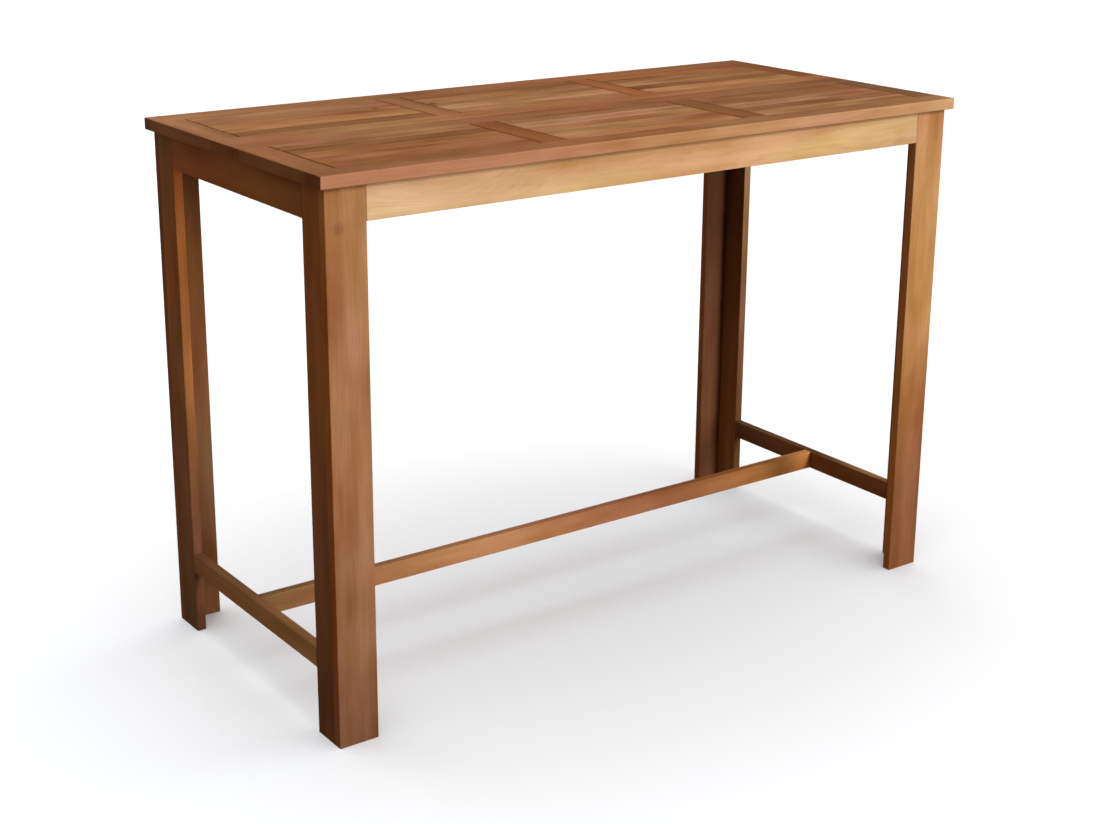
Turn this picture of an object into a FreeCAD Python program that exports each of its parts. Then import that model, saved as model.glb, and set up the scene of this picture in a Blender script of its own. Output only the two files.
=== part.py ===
import FreeCAD, Part
import os
import re

import Sketcher
from FreeCAD import Rotation, Vector

# A bar-height table of oiled hardwood. X runs along its length, Y from front to back, and Z up.
# The origin is on the floor, under the middle of the top. All sizes are in millimetres.

SIZES = {
    # The whole table
    "table_length": 1500,
    "table_depth": 700,
    "table_height": 1050,
    # Tabletop: rails that run along it, rails that cross it, and the slats between them
    "top_thickness": 23,
    "top_overhang": 13,
    "rail_width": 55,
    "end_rail_width": 55,
    "cross_rail_width": 55,
    "slat_count": 5,
    "slat_gap": 1,
    "slat_end_gap": 3,
    "top_edge_radius": 2,
    "joint_edge_radius": 0.8,
    # Tongues on the slats and short rails, and the grooves that hold them
    "tongue_length": 8,
    "tongue_thickness": 8,
    "tongue_shoulder": 4,
    "tongue_play": 1,
    "groove_stop": 12,
    # Legs, aprons and stretchers, all of one board
    "board_thickness": 19,
    "board_edge_radius": 1.5,
    "leg_width": 80,
    "apron_height": 65,
    "stretcher_height": 40,
    "stretcher_rise": 130,
    # Cleats behind the aprons, and battens under the slats
    "cleat_width": 30,
    "cleat_height": 30,
    "batten_width": 60,
    "batten_thickness": 20,
    "hidden_edge_radius": 1,
    # Dowels
    "dowel_diameter": 8,
    "dowel_length": 40,
    "dowel_chamfer": 1,
    "dowel_play": 0.1,
    "dowel_shallow_depth": 12,
    "apron_dowel_spread": 40,
    "stretcher_dowel_spread": 18,
    # Room beyond the end of each dowel and screw
    "hole_end_play": 1,
    # Screws
    "screw_diameter": 4,
    "screw_head_diameter": 8,
    "screw_head_height": 2.5,
    "screw_tip_length": 5,
    "screw_play": 0.1,
    "batten_screw_length": 35,
    "cleat_screw_length": 43,
    "cleat_screw_inset": 9,
    "cleat_screw_rise": 8,
}

# Heights of the leg dowels, as shares of the leg
LEG_DOWEL_SHARES = (0.08, 0.29, 0.5, 0.71, 0.9)
# Screws in a short rail, as shares of its length
CROSS_SCREW_SHARES = (0.25, 0.75)
# Screws in a short cleat, as shares of half the short apron
SHORT_CLEAT_SHARES = (-0.45, 0, 0.45)

# The two ends and the two long sides of the table, by the sign of their X or Y
ENDS = {-1: "left", 1: "right"}
SIDES = {-1: "front", 1: "back"}
# Battens are counted in steps from the middle one. Even steps lie under panels, odd ones under cross rails.
BATTEN_STEPS = range(-2, 3)
SPACES_BESIDE_BATTENS = range(-3, 3)
# The panels of a row, by the step of the batten under each
PANELS = {-2: "left", 0: "middle", 2: "right"}
SLATS = range(SIZES["slat_count"])

# Places and extents that several pieces share, as formulas of the sizes above
HALF_LENGTH = "(table_length / 2)"
HALF_DEPTH = "(table_depth / 2)"
UNDER_TOP = "(table_height - top_thickness)"
LEG_X = f"({HALF_LENGTH} - top_overhang)"
LEG_Y = f"({HALF_DEPTH} - top_overhang)"
INNER_X = f"({LEG_X} - board_thickness)"
INNER_Y = f"({LEG_Y} - board_thickness)"
APRON_X = f"({LEG_X} - leg_width)"
APRON_Y = f"({LEG_Y} - leg_width)"
CLEAT_Y = f"({INNER_Y} - cleat_width)"
ROW_DEPTH = f"({HALF_DEPTH} - 2 * rail_width)"
CROSS_RAILS_WIDTH = f"({len(PANELS) - 1} * cross_rail_width)"
PANEL_LENGTH = f"((table_length - 2 * end_rail_width - {CROSS_RAILS_WIDTH}) / {len(PANELS)})"
BATTEN_PITCH = f"(({PANEL_LENGTH} + cross_rail_width) / 2)"
BETWEEN_BATTENS = [f"({space} + 0.5) * {BATTEN_PITCH}" for space in SPACES_BESIDE_BATTENS]
# Middle of a row of panels, measured from the table's centre line
ROW_MIDDLE = f"(rail_width + {ROW_DEPTH} / 2)"
SLAT_WIDTH = f"(({ROW_DEPTH} - (slat_count + 1) * slat_gap) / slat_count)"
SLAT_PITCH = f"({SLAT_WIDTH} + slat_gap)"
GROOVE_DEPTH = "(tongue_length + tongue_play)"
TONGUE_RISE = "((top_thickness - tongue_thickness) / 2)"
DOWEL_HOLE = "(dowel_diameter + 2 * dowel_play)"
DOWEL_HALF_DEPTH = "(dowel_length / 2 + hole_end_play)"
DOWEL_DEEP_DEPTH = "(dowel_length - dowel_shallow_depth + hole_end_play)"
DOWEL_SHALLOW_DEPTH = "(dowel_shallow_depth + hole_end_play)"
SCREW_HOLE = "(screw_diameter + 2 * screw_play)"
BATTEN_SCREW_DEPTH = "(batten_screw_length - batten_thickness + hole_end_play)"
APRON_DOWEL_HEIGHTS = [f"({UNDER_TOP} - apron_height / 2 {sign} apron_dowel_spread / 2)" for sign in "-+"]
STRETCHER_DOWEL_HEIGHTS = [
    f"(stretcher_rise + stretcher_height / 2 {sign} stretcher_dowel_spread / 2)" for sign in "-+"
]
CLEAT_SCREW_HEIGHT = f"({UNDER_TOP} - cleat_height + cleat_screw_rise)"
# Where a cleat's end screw enters a leg, in from the leg's free edge and clear of the cleat beside it
LEG_SCREW_INSET = "((leg_width - board_thickness - cleat_width) / 2)"

# How near an edge's ends must lie to a side of a board to count as on it
COORDINATE_TOLERANCE = 0.001
# Sketches are drawn roughly at this size first, then held to their real sizes and places
ROUGH_SIZE = 1.0

doc = FreeCAD.newDocument("bar_table")
nodes = []


def fill_sheet():
    """Writes every size into the sheet, beside its name."""
    sheet = doc.addObject("Spreadsheet::Sheet", "Sizes")
    for row, (name, value) in enumerate(SIZES.items(), start=1):
        sheet.set(f"A{row}", name)
        sheet.set(f"B{row}", str(value))
        sheet.setAlias(f"B{row}", name)
    doc.recompute()


def bind(target, property_name, formula):
    """Ties a property to a formula of the sizes."""
    named = re.sub(r"[a-z_]{2,}", lambda word: f"Sizes.{word.group(0)}", formula)
    target.setExpression(property_name, named)


def outermost(sign, reach, extent):
    """Low coordinate of a piece whose outer side lies this reach from the middle, on the side of sign."""
    return f"-{reach}" if sign < 0 else f"{reach} - {extent}"


def inward(sign, distance, extent):
    """Place in a piece's own coordinates, this distance in from its outer side."""
    return distance if sign < 0 else f"{extent} - ({distance})"


def outer(axis, sign):
    """The side of a piece that faces out of the table, such as x0 at the left end."""
    return f"{axis}{0 if sign < 0 else 1}"


def inner(axis, sign):
    """The side of a piece that faces into the table, such as x1 at the left end."""
    return f"{axis}{1 if sign < 0 else 0}"


def hold_point(sketch, element, point, place, label):
    """Holds a sketch point at a place given by two formulas.

    A sketch counts its own X axis as -1, with the origin as point 1 of it, and its Y axis as -2.
    """
    for axis, kind, line, formula in (("x", "DistanceX", -2, place[0]), ("y", "DistanceY", -1, place[1])):
        if formula == "0":
            sketch.addConstraint(Sketcher.Constraint("PointOnObject", element, point, line))
            continue
        index = sketch.addConstraint(Sketcher.Constraint(kind, -1, 1, element, point, ROUGH_SIZE))
        sketch.renameConstraint(index, f"{label}_{axis}")
        bind(sketch, f"Constraints.{label}_{axis}", formula)


def join_lines(sketch, first, second):
    """Joins the end of one sketch line, its point 2, to the start of another, its point 1."""
    sketch.addConstraint(Sketcher.Constraint("Coincident", first, 2, second, 1))


def draw_polygon(sketch, points):
    """Draws a closed outline through points given as formulas."""
    count = len(points)
    rough = [Vector(ROUGH_SIZE * index, ROUGH_SIZE * index * index, 0) for index in range(count)]
    for index in range(count):
        sketch.addGeometry(Part.LineSegment(rough[index], rough[(index + 1) % count]))
    for index in range(count):
        join_lines(sketch, index, (index + 1) % count)
        hold_point(sketch, index, 1, points[index], f"point{index}")


def draw_rectangle(sketch, low, size):
    """Draws a rectangle from its low corner and its two sizes."""
    corners = [
        Vector(0, 0, 0),
        Vector(ROUGH_SIZE, 0, 0),
        Vector(ROUGH_SIZE, ROUGH_SIZE, 0),
        Vector(0, ROUGH_SIZE, 0),
    ]
    count = len(corners)
    for index in range(count):
        sketch.addGeometry(Part.LineSegment(corners[index], corners[(index + 1) % count]))
        sketch.addConstraint(Sketcher.Constraint("Horizontal" if index % 2 == 0 else "Vertical", index))
    for index in range(count):
        join_lines(sketch, index, (index + 1) % count)
    for line, (name, kind) in enumerate((("width", "DistanceX"), ("rise", "DistanceY"))):
        index = sketch.addConstraint(Sketcher.Constraint(kind, line, 1, line, 2, ROUGH_SIZE))
        sketch.renameConstraint(index, name)
        bind(sketch, f"Constraints.{name}", size[line])
    hold_point(sketch, 0, 1, low, "low")


def draw_circles(sketch, centres, diameter):
    """Draws equal circles at centres given as formulas. A circle's centre is its point 3."""
    for index, centre in enumerate(centres):
        rough = Vector(ROUGH_SIZE * (1 + index), ROUGH_SIZE, 0)
        sketch.addGeometry(Part.Circle(rough, Vector(0, 0, 1), ROUGH_SIZE))
        constraint = sketch.addConstraint(Sketcher.Constraint("Diameter", index, ROUGH_SIZE))
        sketch.renameConstraint(constraint, f"diameter{index}")
        bind(sketch, f"Constraints.diameter{index}", diameter)
        hold_point(sketch, index, 3, centre, f"centre{index}")


class Board:
    """A rectangular piece of wood, made in place: its low corner and its size are formulas."""

    PLANES = {"x": "YZ_Plane", "y": "XZ_Plane", "z": "XY_Plane"}

    def __init__(self, label, low, size):
        self.label = label
        self.size = dict(zip("xyz", size))
        self.body = doc.addObject("PartDesign::Body", label)
        self.body.Label = label
        self.steps = 0
        for axis, formula in zip("xyz", low):
            bind(self.body, f"Placement.Base.{axis}", formula)
        outline = self.new_sketch("z0")
        draw_rectangle(outline, ("0", "0"), size[:2])
        self.add("PartDesign::Pad", outline, size[2])

    def new_sketch(self, side):
        """Makes a sketch on one side of the board: x0 is its low X side, x1 its high X side."""
        axis, end = side
        self.steps += 1
        sketch = self.body.newObject("Sketcher::SketchObject", f"{self.label}_sketch{self.steps}")
        role = self.PLANES[axis]
        plane = next(feature for feature in self.body.Origin.OriginFeatures if feature.Role == role)
        sketch.AttachmentSupport = [(plane, "")]
        sketch.MapMode = "FlatFace"
        if end == "1":
            sign = "-" if axis == "y" else ""
            bind(sketch, "AttachmentOffset.Base.z", f"{sign}{self.size[axis]}")
        return sketch

    def add(self, kind, sketch, depth, reverse=False):
        """Adds a pad or a pocket of a sketch, this deep."""
        feature = self.body.newObject(kind, f"{self.label}_feature{self.steps}")
        feature.Profile = sketch
        feature.Reversed = reverse
        bind(feature, "Length", depth)
        self.body.Tip = feature

    def cut(self, side, low, size, depth):
        """Cuts a rectangle into one side."""
        sketch = self.new_sketch(side)
        draw_rectangle(sketch, low, size)
        self.add("PartDesign::Pocket", sketch, depth, side in ("x0", "y1", "z0"))

    def drill(self, side, centres, diameter, depth):
        """Drills equal holes into one side."""
        sketch = self.new_sketch(side)
        draw_circles(sketch, centres, diameter)
        self.add("PartDesign::Pocket", sketch, depth, side in ("x0", "y1", "z0"))

    def tongue(self, side, low, size, length):
        """Leaves a tongue standing out of one side."""
        sketch = self.new_sketch(side)
        draw_rectangle(sketch, low, size)
        self.add("PartDesign::Pad", sketch, length, side in ("x0", "y1", "z0"))

    def round_edges(self, edges, radius):
        """Rounds edges that are each named by the two sides that meet there, such as x0z1."""
        doc.recompute()
        base = self.body.Tip
        box = base.Shape.BoundBox
        limits = {"x": (box.XMin, box.XMax), "y": (box.YMin, box.YMax), "z": (box.ZMin, box.ZMax)}

        def lies_on(edge, side):
            place = limits[side[0]][int(side[1])]
            ends = [getattr(vertex.Point, side[0]) for vertex in edge.Vertexes]
            return all(abs(end - place) < COORDINATE_TOLERANCE for end in ends)

        names = []
        for index, edge in enumerate(base.Shape.Edges, start=1):
            if any(lies_on(edge, name[:2]) and lies_on(edge, name[2:]) for name in edges):
                names.append(f"Edge{index}")
        self.steps += 1
        fillet = self.body.newObject("PartDesign::Fillet", f"{self.label}_fillet{self.steps}")
        fillet.Base = (base, names)
        bind(fillet, "Radius", radius)
        self.body.Tip = fillet


def keep(piece):
    """Notes a finished piece, so that it is checked and written."""
    nodes.append(piece)
    return piece


def make_leg(end, side):
    """A leg is an angle of two boards: one faces the front or back, the other faces the table's end."""
    name = f"leg_{SIDES[side]}_{ENDS[end]}"
    low_x = outermost(end, LEG_X, "leg_width")
    low_y = outermost(side, LEG_Y, "board_thickness")
    face = Board(f"{name}_face_board", (low_x, low_y, "0"), ("leg_width", "board_thickness", UNDER_TOP))
    rounded = [outer("x", end) + outer("y", side), inner("x", end) + "y0", inner("x", end) + "y1"]
    face.round_edges(rounded, "board_edge_radius")
    apron_holes = [("board_thickness / 2", height) for height in APRON_DOWEL_HEIGHTS]
    face.drill(inner("x", end), apron_holes, DOWEL_HOLE, DOWEL_HALF_DEPTH)
    seam_x = inward(end, "board_thickness / 2", "leg_width")
    seam_heights = [f"{share} * {UNDER_TOP}" for share in LEG_DOWEL_SHARES]
    seam = [(seam_x, height) for height in seam_heights]
    face.drill(inner("y", side), seam, DOWEL_HOLE, DOWEL_SHALLOW_DEPTH)
    screw_x = inward(-end, LEG_SCREW_INSET, "leg_width")
    face.drill(inner("y", side), [(screw_x, CLEAT_SCREW_HEIGHT)], SCREW_HOLE, screw_depth("cleat_width"))
    keep(face.body)

    low_x = outermost(end, LEG_X, "board_thickness")
    low_y = f"-{INNER_Y}" if side < 0 else APRON_Y
    depth = "(leg_width - board_thickness)"
    flank = Board(f"{name}_side_board", (low_x, low_y, "0"), ("board_thickness", depth, UNDER_TOP))
    flank.round_edges(["x0" + inner("y", side), "x1" + inner("y", side)], "board_edge_radius")
    heights = APRON_DOWEL_HEIGHTS + STRETCHER_DOWEL_HEIGHTS
    holes = [("board_thickness / 2", height) for height in heights]
    flank.drill(inner("y", side), holes, DOWEL_HOLE, DOWEL_HALF_DEPTH)
    seam_holes = [("board_thickness / 2", height) for height in seam_heights]
    flank.drill(outer("y", side), seam_holes, DOWEL_HOLE, DOWEL_DEEP_DEPTH)
    screw_y = inward(-side, LEG_SCREW_INSET, depth)
    flank.drill(inner("x", end), [(screw_y, CLEAT_SCREW_HEIGHT)], SCREW_HOLE, screw_depth("cleat_width"))
    keep(flank.body)


def screw_depth(cleat):
    """Depth of the hole that a cleat screw needs beyond the cleat."""
    return f"(cleat_screw_length - {cleat} + hole_end_play)"


def long_cleat_screws():
    """Places along X of the screws that hold a long cleat to its apron and to the two legs."""
    leg_place = f"({APRON_X} + {LEG_SCREW_INSET})"
    return [f"-{leg_place}"] + BETWEEN_BATTENS + [leg_place]


def short_cleat_screws():
    """Places along Y of the screws that hold a short cleat to its apron and to the two legs."""
    leg_place = f"({APRON_Y} + {LEG_SCREW_INSET})"
    return [f"-{leg_place}"] + [f"{share} * {APRON_Y}" for share in SHORT_CLEAT_SHARES] + [leg_place]


def make_long_apron(side):
    """The apron between the two legs of the front or back."""
    low = (f"-{APRON_X}", outermost(side, LEG_Y, "board_thickness"), f"{UNDER_TOP} - apron_height")
    apron = Board(f"apron_{SIDES[side]}", low, (f"2 * {APRON_X}", "board_thickness", "apron_height"))
    face = outer("y", side)
    apron.round_edges(["y0z0", "y1z0", "x0" + face, "x1" + face], "board_edge_radius")
    holes = [("board_thickness / 2", f"apron_height / 2 {sign} apron_dowel_spread / 2") for sign in "-+"]
    for end in ("x0", "x1"):
        apron.drill(end, holes, DOWEL_HOLE, DOWEL_HALF_DEPTH)
    rise = "apron_height - cleat_height + cleat_screw_rise"
    places = [(f"{APRON_X} + {place}", rise) for place in BETWEEN_BATTENS]
    apron.drill(inner("y", side), places, SCREW_HOLE, screw_depth("cleat_width"))
    keep(apron.body)


def make_short_apron(end):
    """The apron between the two legs of one end."""
    low = (outermost(end, LEG_X, "board_thickness"), f"-{APRON_Y}", f"{UNDER_TOP} - apron_height")
    apron = Board(f"apron_{ENDS[end]}", low, ("board_thickness", f"2 * {APRON_Y}", "apron_height"))
    face = outer("x", end)
    apron.round_edges(["x0z0", "x1z0", face + "y0", face + "y1"], "board_edge_radius")
    holes = [("board_thickness / 2", f"apron_height / 2 {sign} apron_dowel_spread / 2") for sign in "-+"]
    for side in ("y0", "y1"):
        apron.drill(side, holes, DOWEL_HOLE, DOWEL_HALF_DEPTH)
    rise = "apron_height - cleat_height + cleat_screw_rise"
    places = [(f"(1 + {share}) * {APRON_Y}", rise) for share in SHORT_CLEAT_SHARES]
    apron.drill(inner("x", end), places, SCREW_HOLE, screw_depth("cleat_width"))
    keep(apron.body)


def make_short_stretcher(end):
    """The low rail between the two legs of one end."""
    low = (outermost(end, LEG_X, "board_thickness"), f"-{APRON_Y}", "stretcher_rise")
    size = ("board_thickness", f"2 * {APRON_Y}", "stretcher_height")
    stretcher = Board(f"stretcher_{ENDS[end]}", low, size)
    stretcher.round_edges(["x0z0", "x0z1", "x1z0", "x1z1"], "board_edge_radius")
    heights = [f"stretcher_height / 2 {sign} stretcher_dowel_spread / 2" for sign in "-+"]
    for side in ("y0", "y1"):
        holes = [("board_thickness / 2", height) for height in heights]
        stretcher.drill(side, holes, DOWEL_HOLE, DOWEL_HALF_DEPTH)
    middle = [(APRON_Y, height) for height in heights]
    stretcher.drill(inner("x", end), middle, DOWEL_HOLE, DOWEL_SHALLOW_DEPTH)
    keep(stretcher.body)


def make_long_stretcher():
    """The low rail along the middle, between the two short ones."""
    low = (f"-{INNER_X}", "-board_thickness / 2", "stretcher_rise")
    stretcher = Board("stretcher_long", low, (f"2 * {INNER_X}", "board_thickness", "stretcher_height"))
    stretcher.round_edges(["y0z0", "y0z1", "y1z0", "y1z1"], "board_edge_radius")
    heights = [f"stretcher_height / 2 {sign} stretcher_dowel_spread / 2" for sign in "-+"]
    holes = [("board_thickness / 2", height) for height in heights]
    for end in ("x0", "x1"):
        stretcher.drill(end, holes, DOWEL_HOLE, DOWEL_DEEP_DEPTH)
    keep(stretcher.body)


def make_long_cleat(side):
    """The cleat behind the front or back apron and its two legs, which carries the top."""
    low = (f"-{INNER_X}", outermost(side, INNER_Y, "cleat_width"), f"{UNDER_TOP} - cleat_height")
    cleat = Board(f"cleat_{SIDES[side]}", low, (f"2 * {INNER_X}", "cleat_width", "cleat_height"))
    cleat.round_edges([inner("y", side) + "z0"], "hidden_edge_radius")
    inset = inward(side, "cleat_screw_inset", "cleat_width")
    upward = [(f"{INNER_X} + {step} * {BATTEN_PITCH}", inset) for step in BATTEN_STEPS]
    cleat.drill("z0", upward, SCREW_HOLE, "cleat_height")
    outward = [(f"{INNER_X} + {place}", "cleat_screw_rise") for place in long_cleat_screws()]
    cleat.drill(inner("y", side), outward, SCREW_HOLE, "cleat_width")
    keep(cleat.body)


def make_short_cleat(end):
    """The cleat behind the apron of one end, between the two long cleats."""
    low = (outermost(end, INNER_X, "cleat_width"), f"-{CLEAT_Y}", f"{UNDER_TOP} - cleat_height")
    cleat = Board(f"cleat_{ENDS[end]}", low, ("cleat_width", f"2 * {CLEAT_Y}", "cleat_height"))
    cleat.round_edges([inner("x", end) + "z0"], "hidden_edge_radius")
    inset = inward(end, "cleat_screw_inset", "cleat_width")
    upward = [(inset, f"{CLEAT_Y} {sign} {ROW_MIDDLE}") for sign in "-+"]
    cleat.drill("z0", upward, SCREW_HOLE, "cleat_height")
    outward = [(f"{CLEAT_Y} + {place}", "cleat_screw_rise") for place in short_cleat_screws()]
    cleat.drill(inner("x", end), outward, SCREW_HOLE, "cleat_width")
    keep(cleat.body)


def slat_middle(row, index):
    """Middle of a slat along Y. Slats are counted outwards from the centre rails."""
    sign = "-" if row < 0 else ""
    return f"{sign}(rail_width + slat_gap + {SLAT_WIDTH} / 2 + {index} * {SLAT_PITCH})"


def cross_screw(row, share):
    """Place along Y of a screw in a cross rail, at a share of its length."""
    sign = "-" if row < 0 else ""
    return f"{sign}(rail_width + {share} * {ROW_DEPTH})"


def batten_screws(step):
    """Places along Y of the screws in one batten: even battens hold slats, odd ones hold cross rails."""
    places = ["-rail_width / 2", "rail_width / 2"]
    for row in SIDES:
        if step % 2 == 0:
            places += [slat_middle(row, index) for index in SLATS]
        else:
            places += [cross_screw(row, share) for share in CROSS_SCREW_SHARES]
    return places


def make_batten(number, step):
    """A flat batten across the table, under the slats and rails that it holds."""
    low = (f"{step} * {BATTEN_PITCH} - batten_width / 2", f"-{CLEAT_Y}", f"{UNDER_TOP} - batten_thickness")
    batten = Board(f"batten_{number}", low, ("batten_width", f"2 * {CLEAT_Y}", "batten_thickness"))
    batten.round_edges(["x0z0", "x1z0"], "hidden_edge_radius")
    holes = [("batten_width / 2", f"{CLEAT_Y} + {place}") for place in batten_screws(step)]
    batten.drill("z0", holes, SCREW_HOLE, "batten_thickness")
    keep(batten.body)


def make_outer_rail(side):
    """The front or back rail of the top. It runs the whole length and holds the tongues in a groove."""
    low = (f"-{HALF_LENGTH}", outermost(side, HALF_DEPTH, "rail_width"), UNDER_TOP)
    rail = Board(f"top_rail_{SIDES[side]}", low, ("table_length", "rail_width", "top_thickness"))
    face = outer("y", side)
    rounded = [face + "z0", face + "z1", "x0z0", "x0z1", "x1z0", "x1z1", "x0" + face, "x1" + face]
    rail.round_edges(rounded, "top_edge_radius")
    rail.round_edges([inner("y", side) + "z1"], "joint_edge_radius")
    cut_groove(rail, inner("y", side))
    inset = inward(side, "top_overhang + board_thickness + cleat_screw_inset", "rail_width")
    holes = [(f"{HALF_LENGTH} + {step} * {BATTEN_PITCH}", inset) for step in BATTEN_STEPS]
    rail.drill("z0", holes, SCREW_HOLE, screw_depth("cleat_height"))
    keep(rail.body)


def make_centre_rail(side):
    """One of the two rails that meet along the table's centre line."""
    low = (f"-{HALF_LENGTH}", "-rail_width" if side < 0 else "0", UNDER_TOP)
    rail = Board(f"top_rail_centre_{SIDES[side]}", low, ("table_length", "rail_width", "top_thickness"))
    rail.round_edges(["x0z0", "x0z1", "x1z0", "x1z1"], "top_edge_radius")
    rail.round_edges(["y0z1", "y1z1"], "joint_edge_radius")
    cut_groove(rail, outer("y", side))
    joint = [(f"{HALF_LENGTH} + {place}", "top_thickness / 2") for place in BETWEEN_BATTENS]
    rail.drill(inner("y", side), joint, DOWEL_HOLE, DOWEL_HALF_DEPTH)
    holes = [(f"{HALF_LENGTH} + {step} * {BATTEN_PITCH}", "rail_width / 2") for step in BATTEN_STEPS]
    rail.drill("z0", holes, SCREW_HOLE, BATTEN_SCREW_DEPTH)
    keep(rail.body)


def cut_groove(rail, side):
    """Cuts the groove of a long rail, stopped short of both ends."""
    low = ("groove_stop", TONGUE_RISE)
    rail.cut(side, low, ("table_length - 2 * groove_stop", "tongue_thickness"), GROOVE_DEPTH)


def row_low(row):
    """Low side of a row of panels along Y."""
    return f"-(rail_width + {ROW_DEPTH})" if row < 0 else "rail_width"


def make_end_rail(end, row):
    """The short rail at one end of a row of panels, held by its tongues in the long rails."""
    low = (outermost(end, HALF_LENGTH, "end_rail_width"), row_low(row), UNDER_TOP)
    rail = Board(f"end_rail_{SIDES[row]}_{ENDS[end]}", low, ("end_rail_width", ROW_DEPTH, "top_thickness"))
    face = outer("x", end)
    rail.round_edges([face + "z0", face + "z1"], "top_edge_radius")
    rail.round_edges([inner("x", end) + "z1", "y0z1", "y1z1"], "joint_edge_radius")
    rail.cut(inner("x", end), ("0", TONGUE_RISE), (ROW_DEPTH, "tongue_thickness"), GROOVE_DEPTH)
    width = f"(end_rail_width - groove_stop - tongue_play - {GROOVE_DEPTH})"
    start = "groove_stop + tongue_play" if end < 0 else GROOVE_DEPTH
    for side in ("y0", "y1"):
        rail.tongue(side, (start, TONGUE_RISE), (width, "tongue_thickness"), "tongue_length")
    inset = inward(end, "top_overhang + board_thickness + cleat_screw_inset", "end_rail_width")
    rail.drill("z0", [(inset, f"{ROW_DEPTH} / 2")], SCREW_HOLE, screw_depth("cleat_height"))
    keep(rail.body)


def make_cross_rail(end, row):
    """The short rail between two panels of a row, held by its tongues in the long rails."""
    low = (f"{end} * {BATTEN_PITCH} - cross_rail_width / 2", row_low(row), UNDER_TOP)
    size = ("cross_rail_width", ROW_DEPTH, "top_thickness")
    rail = Board(f"cross_rail_{SIDES[row]}_{ENDS[end]}", low, size)
    rail.round_edges(["x0z1", "x1z1", "y0z1", "y1z1"], "joint_edge_radius")
    for side in ("x0", "x1"):
        rail.cut(side, ("0", TONGUE_RISE), (ROW_DEPTH, "tongue_thickness"), GROOVE_DEPTH)
    width = f"(cross_rail_width - 2 * {GROOVE_DEPTH})"
    for side in ("y0", "y1"):
        rail.tongue(side, (GROOVE_DEPTH, TONGUE_RISE), (width, "tongue_thickness"), "tongue_length")
    holes = [("cross_rail_width / 2", f"{share} * {ROW_DEPTH}") for share in CROSS_SCREW_SHARES]
    rail.drill("z0", holes, SCREW_HOLE, BATTEN_SCREW_DEPTH)
    keep(rail.body)


def make_panel(column, row):
    """A panel of the top: separate slats, each held by its two tongues and by a screw from the batten."""
    slats = []
    for index in SLATS:
        low = (
            f"{column} * {BATTEN_PITCH} - {PANEL_LENGTH} / 2 + slat_end_gap",
            f"{slat_middle(row, index)} - {SLAT_WIDTH} / 2",
            UNDER_TOP,
        )
        length = f"({PANEL_LENGTH} - 2 * slat_end_gap)"
        name = f"slat_{SIDES[row]}_{PANELS[column]}_{index + 1}"
        slat = Board(name, low, (length, SLAT_WIDTH, "top_thickness"))
        slat.round_edges(["x0z1", "x1z1", "y0z1", "y1z1"], "joint_edge_radius")
        width = f"({SLAT_WIDTH} - 2 * tongue_shoulder)"
        for side in ("x0", "x1"):
            root = ("tongue_shoulder", TONGUE_RISE)
            slat.tongue(side, root, (width, "tongue_thickness"), "slat_end_gap + tongue_length")
        middle = (f"{length} / 2", f"{SLAT_WIDTH} / 2")
        slat.drill("z0", [middle], SCREW_HOLE, BATTEN_SCREW_DEPTH)
        slats.append(slat.body)
    keep(group(f"slats_{SIDES[row]}_{PANELS[column]}", slats))


def group(label, pieces):
    """Joins separate pieces of one kind into one node, each still its own solid."""
    compound = doc.addObject("Part::Compound", label)
    compound.Label = label
    compound.Links = pieces
    return compound


def make_dowel():
    """The pattern dowel, standing on the origin."""
    body = doc.addObject("PartDesign::Body", "dowel")
    sketch = body.newObject("Sketcher::SketchObject", "dowel_sketch")
    plane = next(feature for feature in body.Origin.OriginFeatures if feature.Role == "XZ_Plane")
    sketch.AttachmentSupport = [(plane, "")]
    sketch.MapMode = "FlatFace"
    radius = "dowel_diameter / 2"
    draw_polygon(sketch, [
        ("0", "0"),
        (f"{radius} - dowel_chamfer", "0"),
        (radius, "dowel_chamfer"),
        (radius, "dowel_length - dowel_chamfer"),
        (f"{radius} - dowel_chamfer", "dowel_length"),
        ("0", "dowel_length"),
    ])
    turn(body, sketch)
    return body


def make_screw(name, length):
    """A pattern screw, its head below the origin and its point up."""
    body = doc.addObject("PartDesign::Body", name)
    sketch = body.newObject("Sketcher::SketchObject", f"{name}_sketch")
    plane = next(feature for feature in body.Origin.OriginFeatures if feature.Role == "XZ_Plane")
    sketch.AttachmentSupport = [(plane, "")]
    sketch.MapMode = "FlatFace"
    draw_polygon(sketch, [
        ("0", "-screw_head_height"),
        ("screw_head_diameter / 2", "-screw_head_height"),
        ("screw_head_diameter / 2", "0"),
        ("screw_diameter / 2", "0"),
        ("screw_diameter / 2", f"{length} - screw_tip_length"),
        ("0", length),
    ])
    turn(body, sketch)
    return body


def turn(body, sketch):
    """Turns a half outline about the upright axis."""
    feature = body.newObject("PartDesign::Revolution", f"{body.Name}_turned")
    feature.Profile = sketch
    feature.ReferenceAxis = (sketch, ["V_Axis"])
    body.Tip = feature


def put_copy(pattern, name, point, direction):
    """Puts a copy of a pattern fastener with its foot at a point, along a direction."""
    copy = doc.addObject("App::Link", name)
    copy.LinkedObject = pattern
    copy.Placement = FreeCAD.Placement(Vector(0, 0, 0), Rotation(Vector(0, 0, 1), direction))
    for axis, formula in zip("xyz", point):
        bind(copy, f"Placement.Base.{axis}", formula)
    return copy


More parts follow.
